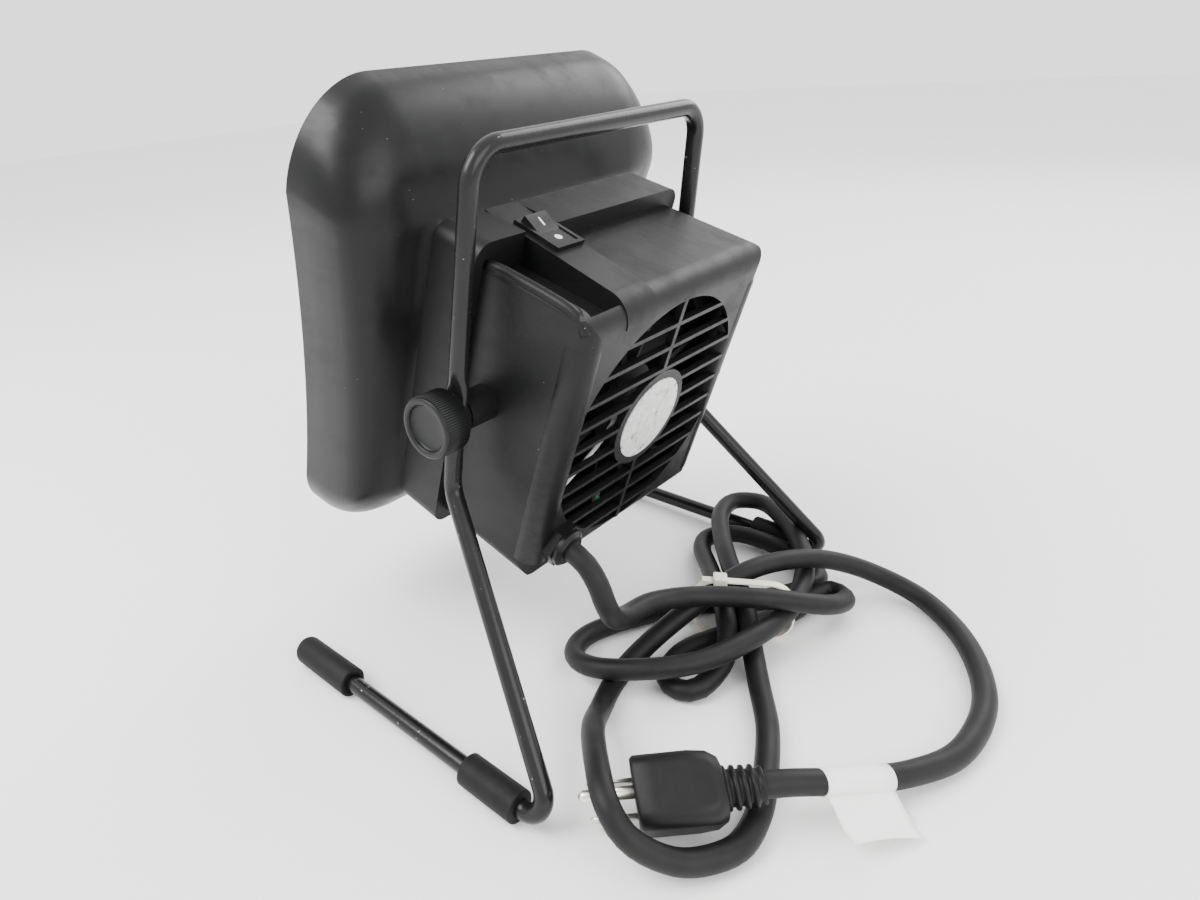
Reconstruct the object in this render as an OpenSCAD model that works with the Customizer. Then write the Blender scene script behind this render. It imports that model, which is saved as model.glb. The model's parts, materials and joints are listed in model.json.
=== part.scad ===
// Bench-top solder fume extractor: a tilting fan head with a wide hood, carried between the
// uprights of a bent rod stand, with its power cord bundled behind it.
// The hood faces -Y, the rear grille faces +Y and the switch side is +X.

/* [Stand] */
// Diameter of the stand's steel rod
rod_d = 8; // [6:0.5:10]
// Height of the tilt axis above the bench
pivot_z = 147; // [140:1:170]
// Distance of the tilt axis behind the centre of the footprint
pivot_y = 21.5; // [18:0.5:26]
// Height of the handle bar's centre line
handle_z = 253; // [245:1:270]
// Half of the spacing of the uprights at the handle
handle_half = 77; // [76:1:90]
// Half of the spacing of the uprights at the tilt axis
pivot_half = 83; // [82:1:90]
// Half of the spacing of the feet
foot_half = 123; // [115:1:130]
// How far the feet reach in front of the tilt axis
foot_front = 87; // [80:1:110]
// How far the feet's rear corners lie behind the tilt axis
foot_rear = 80; // [70:1:100]
// Outer diameter of the rubber sleeves and caps on the feet
rubber_d = 14.5; // [12:0.5:16]

/* [Head] */
// Tilt of the head at rest, hood up
head_tilt = 17; // [0:1:25]
// Width of the rear housing
box_w = 132; // [128:1:140]
// Top of the rear housing above the tilt axis
box_top = 60; // [58:1:66]
// Bottom of the rear housing below the tilt axis
box_bottom = 74; // [72:1:80]
// Rear face of the housing behind the tilt axis
box_rear = 43; // [42:1:50]
// Thickness of the housing's walls
wall = 3; // [2.5:0.25:4]
// How far the collar stands out of the housing at each side
collar_step = 5; // [4:0.5:8]
// Depth of the collar band, front to back
collar_depth = 25; // [22:1:30]

/* [Hood] */
// Top edge of the hood's mouth above the tilt axis
hood_top = 114; // [100:1:120]
// Bottom edge of the hood's mouth below the tilt axis
hood_bottom = 118; // [100:1:120]
// Half of the mouth's width at its top corners
hood_half_top = 108; // [95:1:115]
// Half of the mouth's width near its bottom
hood_half_bottom = 92; // [85:1:95]
// Distance of the mouth's rim in front of the tilt axis
hood_reach = 88; // [80:1:100]
// Thickness of the hood's skin
hood_wall = 2.6; // [2:0.2:4]

/* [Grille and fan] */
// Radius of the round grille opening
grille_r = 60; // [56:1:61]
// Radius of the hub disc in the middle of the grille
hub_r = 24.5; // [20:0.5:28]
// Distance between the grille's slats
slat_pitch = 11.4; // [10:0.2:12]
// Side of the square axial fan
fan_size = 119; // [115:1:119]
// Depth of the axial fan
fan_depth = 25; // [24:1:26]
// Number of fan blades
fan_blades = 7; // [5:1:9]

/* [Controls] */
// Diameter of the tilt knobs
knob_d = 27; // [24:1:32]
// Thickness of the tilt knobs
knob_len = 14; // [12:1:18]
// Diameter of the knobs' threaded studs
stud_d = 6; // [5:1:6]
// Travel of the rocker switch in degrees
rocker_travel = 20; // [16:1:22]

/* [Cord] */
// Diameter of the power cord
cord_d = 10; // [8:0.5:10]
// Length of the plug's moulded body
plug_len = 34; // [30:1:38]

/* [Hidden] */

round_fn = 48;          // circles and arcs
foot_z = 7;             // centre line of the foot rods above the bench
eye_t = 4.4;            // thickness of the flattened eye at the tilt axis
collar_rear = -13;      // rear edge of the collar band
collar_front = collar_rear - collar_depth;
collar_half = box_w / 2 + collar_step;
collar_top = box_top + 8;
collar_bottom = -box_bottom - 5;
fan_z = -9;             // fan axis below the tilt axis
fan_front = 3;          // front face of the fan
fan_rear = fan_front + fan_depth;
gland_x = 50;
gland_z = -57;
filter_x = 62;          // half width of the filter cassette
filter_lo = -69.5;
filter_hi = 55.5;
filter_front = -37;
filter_rear = -23;
duct_x = [22.5, 42.5];  // sides of the switch duct
duct_slope = -5.76;     // fall of the duct's top towards the rear
switch_at = [31, -10.5, 65.75];
rocker_rest = -10;      // the front end of the rocker stands proud: off
groove_x = [42.5, 61.5];
insert_r = 4.3;
boss_r = 8;

// ---------------------------------------------------------------- functions

function unit(v) = v / norm(v);
function lerp(a, b, t) = a + (b - a) * t;
function catmull(a, b, c, d, t) =
    0.5 * (2 * b + (c - a) * t + (2 * a - 5 * b + 4 * c - d) * t * t
           + (3 * b - a - 3 * c + d) * t * t * t);

// Points along a smooth curve through p; a stretch longer than gap gets a point halfway
function smooth(p, gap) = [
    for (i = [0 : len(p) - 2])
        let (a = i > 0 ? p[i - 1] : 2 * p[0] - p[1],
             d = i < len(p) - 2 ? p[i + 2] : 2 * p[i + 1] - p[i],
             n = norm(p[i + 1] - p[i]) > gap ? 2 : 1)
            for (k = [0 : n - 1]) catmull(a, p[i], p[i + 1], d, k / n),
    p[len(p) - 1]];

function tangents(p) = let (last = len(p) - 1) [
    for (i = [0 : last])
        unit(unit(p[min(i + 1, last)] - p[min(i, last - 1)])
             + unit(p[max(i, 1)] - p[max(i - 1, 0)]))];

// A direction square to each tangent, carried along the curve without twisting
function normals(t, i = 0, last = undef, out = []) =
    i == len(t) ? out :
    let (seed = last == undef ? (abs(t[0].z) < 0.9 ? [0, 0, 1] : [1, 0, 0]) : last,
         n = unit(seed - (seed * t[i]) * t[i]))
        normals(t, i + 1, n, concat(out, [n]));

// ---------------------------------------------------------------- shared shapes

// Closed tube of round section along the points p
module tube(p, d, sides, first = undef) {
    raw = tangents(p);
    t = [for (i = [0 : len(p) - 1]) i == 0 && first != undef ? unit(first) : raw[i]];
    n = normals(t);
    rings = [for (i = [0 : len(p) - 1]) for (k = [0 : sides - 1])
        let (a = 360 * k / sides)
            p[i] + d / 2 * (cos(a) * n[i] + sin(a) * cross(t[i], n[i]))];
    last = (len(p) - 1) * sides;
    polyhedron(points = rings, faces = concat(
        [[for (k = [0 : sides - 1]) k]],
        [[for (k = [sides - 1 : -1 : 0]) last + k]],
        [for (i = [0 : len(p) - 2]) for (k = [0 : sides - 1])
            let (a = i * sides + k, b = i * sides + (k + 1) % sides)
                [a, b + sides, b]],
        [for (i = [0 : len(p) - 2]) for (k = [0 : sides - 1])
            let (a = i * sides + k, b = i * sides + (k + 1) % sides)
                [a, a + sides, b + sides]]), convexity = 10);
}

// Points round a bend of radius r at corner b, between the directions from a and to c
function bend_points(a, b, c, r) =
    let (u = unit(b - a), w = unit(c - b), turn = acos(u * w), n = ceil(turn / 12),
         centre = b + unit(w - u) * r / cos(turn / 2),
         start = unit(b - u * r * tan(turn / 2) - centre))
        [for (i = [0 : n]) centre + r * (cos(turn * i / n) * start + sin(turn * i / n) * u)];

// Centre line of a rod bent through the points p with radius r[i] at each inner point
function bent_line(p, r) = concat([p[0]],
    [for (i = [1 : len(p) - 2]) each bend_points(p[i - 1], p[i], p[i + 1], r[i])],
    [p[len(p) - 1]]);

// Everything on the head is drawn level about the tilt axis and placed by this
module head() {
    translate([0, pivot_y, pivot_z]) rotate([-head_tilt, 0, 0]) children();
}

// A flat XZ outline given thickness from y0 to y1
module slab(y0, y1) {
    translate([0, y1, 0]) rotate([90, 0, 0]) linear_extrude(y1 - y0) children();
}

// A flat YZ outline given thickness from x0 to x1
module plank(x0, x1) {
    translate([x0, 0, 0]) rotate([90, 0, 90]) linear_extrude(x1 - x0) children();
}

// Rectangle with rounded corners: rb at the bottom, rt at the top
module round_rect(x0, z0, x1, z1, rb, rt) {
    translate([x0 + rb, z0]) square([x1 - x0 - 2 * rb, rb]);
    translate([x0, z0 + rb]) square([x1 - x0, z1 - z0 - rb - rt]);
    translate([x0 + rt, z1 - rt]) square([x1 - x0 - 2 * rt, rt]);
    for (x = [x0 + rb, x1 - rb]) translate([x, z0 + rb]) circle(r = rb, $fn = round_fn);
    for (x = [x0 + rt, x1 - rt]) translate([x, z1 - rt]) circle(r = rt, $fn = round_fn);
}

// Cylinder along Y
module disc(r, y0, y1, x = 0, z = 0, fn = round_fn) {
    translate([x, y1, z]) rotate([90, 0, 0]) cylinder(r = r, h = y1 - y0, $fn = fn);
}

// Cylinder along X
module pin(r, x0, x1, y = 0, z = 0) {
    translate([x0, y, z]) rotate([0, 90, 0]) cylinder(r = r, h = x1 - x0, $fn = round_fn);
}

// ---------------------------------------------------------------- stand

// The right half of the rod's centre line, from the handle's middle to the foot's tip
half_path = [
    [handle_half, pivot_y + 13, handle_z],
    [pivot_half, pivot_y, pivot_z],
    [pivot_half, pivot_y - 6, pivot_z - 36],
    [foot_half, pivot_y + foot_rear, foot_z],
    [foot_half, pivot_y - foot_front + 3, foot_z]];
half_bend = [15, 60, 12, 8, 0];
rod_path = concat([for (i = [4 : -1 : 0]) [-half_path[i].x, half_path[i].y, half_path[i].z]], half_path);
rod_bend = concat([for (i = [4 : -1 : 0]) half_bend[i]], half_bend);

module stand_rod() {
    color("#1b1b1c") difference() {
        union() {
            difference() {
                tube(bent_line(rod_path, rod_bend), rod_d, 24);
                // the rod is pressed flat on both faces around each eye
                for (s = [-1, 1]) for (side = [-1, 1])
                    translate([s * pivot_half + side * (eye_t / 2 + 5), pivot_y, pivot_z])
                        cube([10, 30, 26], center = true);
            }
            for (s = [-1, 1]) translate([0, pivot_y, pivot_z])
                pin(7.5, s * pivot_half - eye_t / 2, s * pivot_half + eye_t / 2);
        }
        for (s = [-1, 1]) translate([0, pivot_y, pivot_z])
            pin(stud_d / 2 + 0.08, s * pivot_half - 6, s * pivot_half + 6);
    }
}

// Rubber sleeve just in front of a rear bend, with a small flat to stand on
module foot_sleeve(side) {
    color("#252526") intersection() {
        translate([side * foot_half, pivot_y, foot_z]) difference() {
            disc(rubber_d / 2, 33, 62);
            disc(rod_d / 2 + 0.02, 32, 63);
        }
        translate([side * foot_half - 20, 0, 0]) cube([40, 200, 30]);
    }
}

module foot_sleeve_left() { foot_sleeve(-1); }
module foot_sleeve_right() { foot_sleeve(1); }

// Closed rubber cap with a domed end over a foot's tip, with a small flat to stand on
module foot_cap(side) {
    r = rubber_d / 2;
    color("#252526") intersection() {
        translate([side * foot_half, pivot_y - foot_front, foot_z]) difference() {
            rotate([-90, 0, 0]) rotate_extrude($fn = round_fn) intersection() {
                union() {
                    translate([0, 5]) square([r, 36]);
                    square([r - 5, 6]);
                    translate([r - 5, 5]) circle(r = 5, $fn = round_fn);
                }
                square([r, 41]);
            }
            disc(rod_d / 2 + 0.02, 3, 42);
        }
        translate([side * foot_half - 20, pivot_y - foot_front - 5, 0]) cube([40, 60, 30]);
    }
}

module foot_cap_left() { foot_cap(-1); }
module foot_cap_right() { foot_cap(1); }

// ---------------------------------------------------------------- hood

// Half outline of the mouth from the bottom's middle round to the top's middle, as [x, z]
function mouth_side(z) = hood_half_bottom
    + (hood_half_top - hood_half_bottom) * pow((z + hood_reach) / (69 + hood_reach), 1.8);
mouth_half = concat(
    [for (i = [0 : 3]) [hood_half_bottom * 0.67 * i / 4, -hood_bottom]],
    [for (a = [-90 : 15 : -15]) [hood_half_bottom - 31 + 31 * cos(a), -hood_bottom + 31 + 31 * sin(a)]],
    [for (i = [0 : 7]) let (z = lerp(-hood_bottom + 31, 69, i / 8)) [mouth_side(z), z]],
    [for (a = [0 : 11.25 : 78.75])
        [hood_half_top - 38 + 38 * cos(a), 69 + (hood_top - 69) * sin(a)]],
    [for (i = [4 : -1 : 1]) [(hood_half_top - 38) * i / 4, hood_top]], [[0, hood_top]]);

// Half outline of the collar's front edge, with as many points as the mouth
throat_half = concat(
    [for (i = [0 : 3]) [(collar_half - 8) * i / 4, collar_bottom]],
    [for (a = [-90 : 15 : -15]) [collar_half - 8 + 8 * cos(a), collar_bottom + 8 + 8 * sin(a)]],
    [for (i = [0 : 7]) [collar_half, lerp(collar_bottom + 8, collar_top - 8, i / 8)]],
    [for (a = [0 : 11.25 : 78.75]) [collar_half - 8 + 8 * cos(a), collar_top - 8 + 8 * sin(a)]],
    [for (i = [4 : -1 : 1]) [(collar_half - 8) * i / 4, collar_top]], [[0, collar_top]]);

function mirrored(h) = concat(h, [for (i = [len(h) - 2 : -1 : 1]) [-h[i].x, h[i].y]]);
mouth = mirrored(mouth_half);
throat = mirrored(throat_half);

// Each ring: depth, then how far the sides and the top and bottom have opened out
hood_rings = [
    [collar_front, 0, 0], [-39.5, 0.18, 0.05], [-42, 0.42, 0.14], [-46, 0.68, 0.29],
    [-50, 0.84, 0.43], [-55, 0.93, 0.58], [-61, 0.97, 0.73], [-68, 0.99, 0.86],
    [-76, 1, 0.95], [-hood_reach, 1, 1]];

// One ring of the skin, moved inwards by inset and forwards by push
function hood_ring(r, inset, push) = [
    for (i = [0 : len(mouth) - 1])
        let (x = lerp(throat[i].x, mouth[i].x, r[1]), z = lerp(throat[i].y, mouth[i].y, r[2]),
             sx = min(1, abs(mouth[i].x) / (hood_half_bottom - 4)), sz = sqrt(max(0, 1 - sx * sx)))
            [x - sign(x) * inset * sx, r[0] - push, z - sign(z) * inset * max(sz, 0.15)]];

module hood() {
    k = len(mouth);
    outer = [for (r = hood_rings) hood_ring(r, 0, 0)];
    inner = [for (i = [len(hood_rings) - 1 : -1 : 0])
        hood_ring(hood_rings[i], i == 0 ? 4 : hood_wall,
                  i == 0 || i == len(hood_rings) - 1 ? 0 : hood_wall * (1 - hood_rings[i][1] / 2))];
    loops = concat(outer, inner);
    m = len(loops);
    color("#1e1f20") head() polyhedron(
        points = [for (l = loops) each l],
        faces = [for (j = [0 : m - 1]) for (i = [0 : k - 1])
            let (a = j * k + i, b = j * k + (i + 1) % k, n = (j + 1) % m)
                for (f = [[a, n * k + i, b], [b, n * k + i, n * k + (i + 1) % k]]) f],
        convexity = 10);
}

// ---------------------------------------------------------------- housing

// Section of the switch duct in YZ: a cover that lies on the collar and the housing's roof
module duct_section() {
    difference() {
        union() {
            polygon([[collar_front + 1, 49.5], [box_rear - 11.6, 49.5],
                     [box_rear - 11.6, box_top + 1.5], [collar_front + 1, collar_top + 0.4]]);
            translate([box_rear - 11.6, 49.5]) intersection() {
                circle(r = 12, $fn = round_fn);
                square(12);
            }
        }
        translate([collar_front - 1, 40]) square([box_rear - 10.6 - collar_front, box_top - 40.5]);
        translate([box_rear - 11.6, 49.5]) circle(r = 10, $fn = round_fn);
        translate([box_rear - 12.6, 40]) square([11, 9.5]);
    }
}

// Room for the switch body through the duct, the collar and the roof
module switch_hole() {
    translate(switch_at) rotate([duct_slope, 0, 0]) translate([-7.4, -11.4, -30]) cube([14.8, 22.8, 40]);
}

// Ring band that joins the hood to the housing, with posts for the fan behind it
module collar() {
    color("#222324") head() difference() {
        union() {
            difference() {
                slab(collar_front, collar_rear)
                    round_rect(-collar_half, collar_bottom, collar_half, collar_top, 8, 8);
                slab(collar_front - 1, filter_rear + 0.5)
                    round_rect(-filter_x - 0.5, filter_lo - 0.5, filter_x + 0.5, filter_hi + 0.5, 3, 3);
                disc(57.5, filter_rear, collar_rear + 1, 0, fan_z);
            }
            for (x = [-52.5, 52.5], z = [-52.5, 52.5]) disc(4.5, collar_rear, fan_front, x, fan_z + z);
        }
        for (x = [-52.5, 52.5], z = [-52.5, 52.5])
            disc(1.75, collar_rear - 4, fan_front + 1, x, fan_z + z);
        plank(duct_x[0] - 0.05, duct_x[1] + 0.05) {
            duct_section();
            translate([collar_front + 1, 62]) square([collar_rear - collar_front, 8]);
        }
        switch_hole();
    }
}

// Solid outline of the housing
module housing_block() {
    w = box_w / 2;
    intersection() {
        slab(collar_rear, box_rear) round_rect(-w, -box_bottom, w, box_top, 6, 4);
        plank(-w - 1, w + 1) {
            translate([collar_rear, -box_bottom])
                square([box_rear - 10 - collar_rear, box_bottom + box_top]);
            translate([collar_rear, -box_bottom + 6])
                square([box_rear - collar_rear, box_bottom + box_top - 16]);
            translate([box_rear - 10, box_top - 10]) circle(r = 10, $fn = round_fn);
            translate([box_rear - 6, -box_bottom + 6]) circle(r = 6, $fn = round_fn);
            translate([box_rear - 12, -box_bottom]) square([6, 8]);
        }
        translate([0, 0, -box_bottom - 1]) linear_extrude(box_bottom + box_top + 2) {
            translate([-w, collar_rear]) square([box_w, box_rear - 8 - collar_rear]);
            translate([-w + 8, collar_rear]) square([box_w - 16, box_rear - collar_rear]);
            for (x = [-w + 8, w - 8]) translate([x, box_rear - 8]) circle(r = 8, $fn = round_fn);
        }
    }
}

// Rear shell: five walls, a round slatted grille and a groove beside the switch duct
module rear_housing() {
    w = box_w / 2;
    floor_z = box_top - 7;
    color("#222324") head() {
        difference() {
            housing_block();
            slab(collar_rear - 1, box_rear - wall)
                round_rect(-w + wall, -box_bottom + wall, groove_x[0] - 2, box_top - wall, 3, 1);
            slab(collar_rear - 1, box_rear - wall)
                round_rect(groove_x[0] - 6, -box_bottom + wall, w - wall, floor_z - 2, 3, 1);
            translate([groove_x[0], collar_rear - 1, floor_z])
                cube([groove_x[1] - groove_x[0], box_rear - 4 - collar_rear, 20]);
            disc(grille_r, box_rear - wall - 1, box_rear + 1, 0, fan_z);
            disc(8.1, box_rear - wall - 1, box_rear + 1, gland_x, gland_z);
            plank(duct_x[0] - 0.05, duct_x[1] + 0.05) duct_section();
            switch_hole();
            pin(insert_r + 0.02, w - wall - 1, w + 1);
            pin(insert_r + 0.02, -w - 1, -w + wall + 1);
        }
        intersection() {
            disc(grille_r + 1, box_rear - wall, box_rear, 0, fan_z);
            union() {
                for (i = [0 : 9])
                    translate([-grille_r - 2, box_rear - wall, fan_z + 48.6 - slat_pitch * i - 1])
                        cube([2 * grille_r + 4, wall, 2]);
                translate([-1.25, box_rear - wall, fan_z - grille_r - 2]) cube([2.5, wall, 2 * grille_r + 4]);
                disc(hub_r, box_rear - wall, box_rear, 0, fan_z);
            }
        }
    }
}

module switch_duct() {
    color("#262728") head() difference() {
        plank(duct_x[0], duct_x[1]) duct_section();
        switch_hole();
    }
}

module hub_label() {
    color("#b9bab8") head() disc(20.5, box_rear, box_rear + 0.4, 0, fan_z);
}

// ---------------------------------------------------------------- switch

module at_switch() {
    head() translate(switch_at) rotate([duct_slope, 0, 0]) children();
}

// Bezel on the duct with the hollow switch body below it
module rocker_bezel() {
    color("#18191a") at_switch() difference() {
        union() {
            translate([-8.5, -12.5, 0]) cube([17, 25, 1.8]);
            translate([-7.3, -11.3, -5]) cube([14.6, 22.6, 6]);
            translate([-7.3, -9.4, -19]) cube([14.6, 20.7, 15]);
        }
        translate([-6.7, -10.7, -4.4]) cube([13.4, 21.4, 8]);
        translate([-6.7, -8.8, -17]) cube([13.4, 19.5, 20]);
        pin(1.25, -8, 8);
    }
}

// Rocker with its two trunnions; its front end is up, which is off
module rocker_button() {
    color("#131415") at_switch() rotate([rocker_rest, 0, 0]) {
        intersection() {
            plank(-6.5, 6.5) circle(r = 10.5, $fn = round_fn);
            plank(-6.5, 6.5)
                polygon([[-11, 3.2], [0, 1.3], [11, 3.2], [11, 0], [3, -7], [-3, -7], [-11, 0]]);
        }
        pin(1.2, -7.2, 7.2);
    }
}

module rocker_terminals() {
    color("#c9b26a") at_switch() for (y = [-7, 0, 7])
        translate([-2.4, y - 0.4, -26]) cube([4.8, 0.8, 7]);
}

// ---------------------------------------------------------------- tilt pivots

// Knob with a dished face, drawn along X for the right side
module knob(side) {
    r = knob_d / 2;
    x0 = pivot_half + eye_t / 2 + 1.8;
    color("#1a1b1b") head() mirror([side < 0 ? 1 : 0, 0, 0])
        translate([x0, 0, 0]) rotate([0, 90, 0]) difference() {
            rotate_extrude($fn = 96) difference() {
                union() {
                    square([r - 1.5, knob_len]);
                    translate([0, 1.5]) square([r, knob_len - 3]);
                    for (z = [1.5, knob_len - 1.5]) translate([r - 1.5, z]) circle(r = 1.5, $fn = 32);
                }
                translate([-1, knob_len - 1.6]) square([r - 2.5, 3]);
            }
            translate([0, 0, -1]) cylinder(r = stud_d / 2 + 0.02, h = 10, $fn = round_fn);
        }
}

module knob_left() { knob(-1); }
module knob_right() { knob(1); }

module knob_stud(side) {
    color("#a9adb0") head() mirror([side < 0 ? 1 : 0, 0, 0])
        pin(stud_d / 2, box_w / 2 + 1.5, pivot_half + eye_t / 2 + 1.8 + 8);
}

module knob_stud_left() { knob_stud(-1); }
module knob_stud_right() { knob_stud(1); }

// Boss that spaces the stand's eye from the housing's side
module pivot_boss(side) {
    w = box_w / 2;
    color("#202122") head() mirror([side < 0 ? 1 : 0, 0, 0]) difference() {
        pin(boss_r, w, pivot_half - eye_t / 2 - 0.05);
        pin(insert_r + 0.02, w - 1, w + 12);
        pin(stud_d / 2 + 0.1, w, pivot_half);
    }
}

module pivot_boss_left() { pivot_boss(-1); }
module pivot_boss_right() { pivot_boss(1); }

module pivot_inserts() {
    w = box_w / 2;
    color("#b58d3c") head() for (side = [0, 1]) mirror([side, 0, 0]) difference() {
        pin(insert_r, w - wall, w + 12);
        pin(stud_d / 2 + 0.05, w + 1, w + 13);
    }
}

module pivot_washers() {
    x0 = pivot_half + eye_t / 2 + 0.05;
    color("#9b9ea1") head() for (side = [0, 1]) mirror([side, 0, 0]) difference() {
        pin(9, x0, x0 + 1.7);
        pin(stud_d / 2 + 0.1, x0 - 1, x0 + 3);
    }
}

// ---------------------------------------------------------------- fan

module fan_frame() {
    h = fan_size / 2;
    color("#161718") head() {
        difference() {
            slab(fan_front, fan_rear) round_rect(-h, fan_z - h, h, fan_z + h, 4, 4);
            disc(57.2, fan_front - 1, fan_rear + 1, 0, fan_z);
            for (x = [-52.5, 52.5], z = [-52.5, 52.5])
                disc(2.15, fan_front - 1, fan_rear + 1, x, fan_z + z);
            // the flanges stand alone at the corners, with the duct wall between them
            for (a = [0 : 90 : 270]) translate([0, 0, fan_z]) rotate([0, a, 0])
                translate([42, fan_front + 4, 42]) cube([30, fan_depth - 8, 30]);
        }
        difference() {
            union() {
                for (a = [20, 110, 200, 290]) translate([0, 0, fan_z]) rotate([0, a, 0])
                    translate([15, fan_rear - 4, -2]) cube([43, 4, 4]);
                disc(20, fan_rear - 4, fan_rear, 0, fan_z);
                disc(10, fan_front + 6, fan_rear, 0, fan_z);
            }
            disc(8.02, fan_front + 5, fan_rear - 2, 0, fan_z);
        }
    }
}

module fan_stator() {
    color("#8f4f2c") head() difference() {
        disc(16, fan_front + 7, fan_rear - 4, 0, fan_z);
        disc(10.02, fan_front + 6, fan_rear - 3, 0, fan_z);
    }
}

module fan_bearings() {
    color("#b4b7ba") head() for (y = [fan_front + 7, fan_rear - 7]) difference() {
        disc(8, y, y + 5, 0, fan_z);
        disc(2.55, y - 1, y + 6, 0, fan_z);
    }
}

module fan_shaft() {
    color("#c2c5c8") head() disc(2.5, fan_front + 3, fan_rear - 2.2, 0, fan_z);
}

module fan_impeller() {
    color("#121314") head() {
        difference() {
            disc(20, fan_front + 1, fan_rear - 5, 0, fan_z);
            disc(17.6, fan_front + 3, fan_rear, 0, fan_z);
        }
        difference() {
            intersection() {
                disc(55.5, fan_front + 2, fan_rear - 5, 0, fan_z);
                for (i = [0 : fan_blades - 1]) translate([0, fan_front + 11, fan_z])
                    rotate([0, 360 * i / fan_blades, 0]) rotate([38, 0, 0])
                        translate([19, -16, -0.9]) cube([40, 32, 1.8]);
            }
            disc(19, fan_front, fan_rear, 0, fan_z);
        }
    }
}

module fan_screws() {
    color("#8d9093") head() for (x = [-52.5, 52.5], z = [-52.5, 52.5]) {
        disc(1.7, fan_front - 10, fan_rear + 0.1, x, fan_z + z);
        disc(3.6, fan_rear + 0.05, fan_rear + 2.2, x, fan_z + z);
    }
}

// ---------------------------------------------------------------- filter

module filter_frame() {
    color("#2b2c2d") head() {
        difference() {
            slab(filter_front, filter_rear)
                round_rect(-filter_x, filter_lo, filter_x, filter_hi, 2.5, 2.5);
            slab(filter_front - 1, filter_rear + 1)
                round_rect(-filter_x + 4, filter_lo + 4, filter_x - 4, filter_hi - 4, 1, 1);
        }
        for (z = [-28, 14]) translate([-filter_x + 3, filter_front, z - 1.5])
            cube([2 * filter_x - 6, 2, 3]);
        for (x = [-21, 21]) translate([x - 1.5, filter_front, filter_lo + 3])
            cube([3, 2, filter_hi - filter_lo - 6]);
    }
}

module filter_pad() {
    color("#3a3b3c") head() slab(filter_front + 2.2, filter_rear)
        round_rect(-filter_x + 4.1, filter_lo + 4.1, filter_x - 4.1, filter_hi - 4.1, 1, 1);
}

// ---------------------------------------------------------------- cord entry and leads

// Bushing through the rear wall, with a domed hexagonal head
module cord_gland() {
    color("#151516") head() difference() {
        union() {
            disc(10.8, box_rear, box_rear + 4.5, gland_x, gland_z, 6);
            disc(9.2, box_rear, box_rear + 6.5, gland_x, gland_z);
            translate([gland_x, box_rear + 6.5, gland_z]) rotate([-90, 0, 0])
                cylinder(r1 = 9.2, r2 = 7.2, h = 1.5, $fn = round_fn);
            disc(8, box_rear - 9, box_rear + 1, gland_x, gland_z);
        }
        disc(cord_d / 2 + 0.02, box_rear - 10, box_rear + 9, gland_x, gland_z);
    }
}

module gland_nut() {
    color("#151516") head() difference() {
        disc(11, box_rear - 8, box_rear - wall, gland_x, gland_z, 6);
        disc(8.03, box_rear - 9, box_rear, gland_x, gland_z);
    }
}

// Leads inside the housing, as points about the level tilt axis
lead_line_route = [[53, 29.8, -54], [57, 29.8, -46], [60.5, 32, -30], [60.5, 32, 20], [60, 33, 42],
    [50, 33, 46], [40, 33, 46.5], [35, 32, 50], [28, 31, 53.5], [19, 30, 54.4], [17.5, 4, 54.4],
    [17.5, -6, 52], [19, -10, 42], [28, -10, 41]];
lead_neutral_route = [[48, 29.8, -54], [44, 30.5, -46], [30, 31.5, -34], [14, 32, -20], [8, 31, -12]];
lead_ground_route = [[46.5, 29.8, -57], [45, 30, -62], [32, 33, -65], [6, 33, -66], [0, 30, -66.5]];

module lead_line() { color("#202020") head() tube(smooth(lead_line_route, 15), 2, 8); }
module lead_neutral() { color("#e6e6e2") head() tube(smooth(lead_neutral_route, 15), 2, 8); }
module lead_ground() { color("#2f7a3c") head() tube(smooth(lead_ground_route, 15), 2, 8); }

module ground_screw() {
    color("#8d9093") head() disc(3.4, fan_rear + 0.1, fan_rear + 1.2, 0, -66.5);
}

// ---------------------------------------------------------------- power cord

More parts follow.
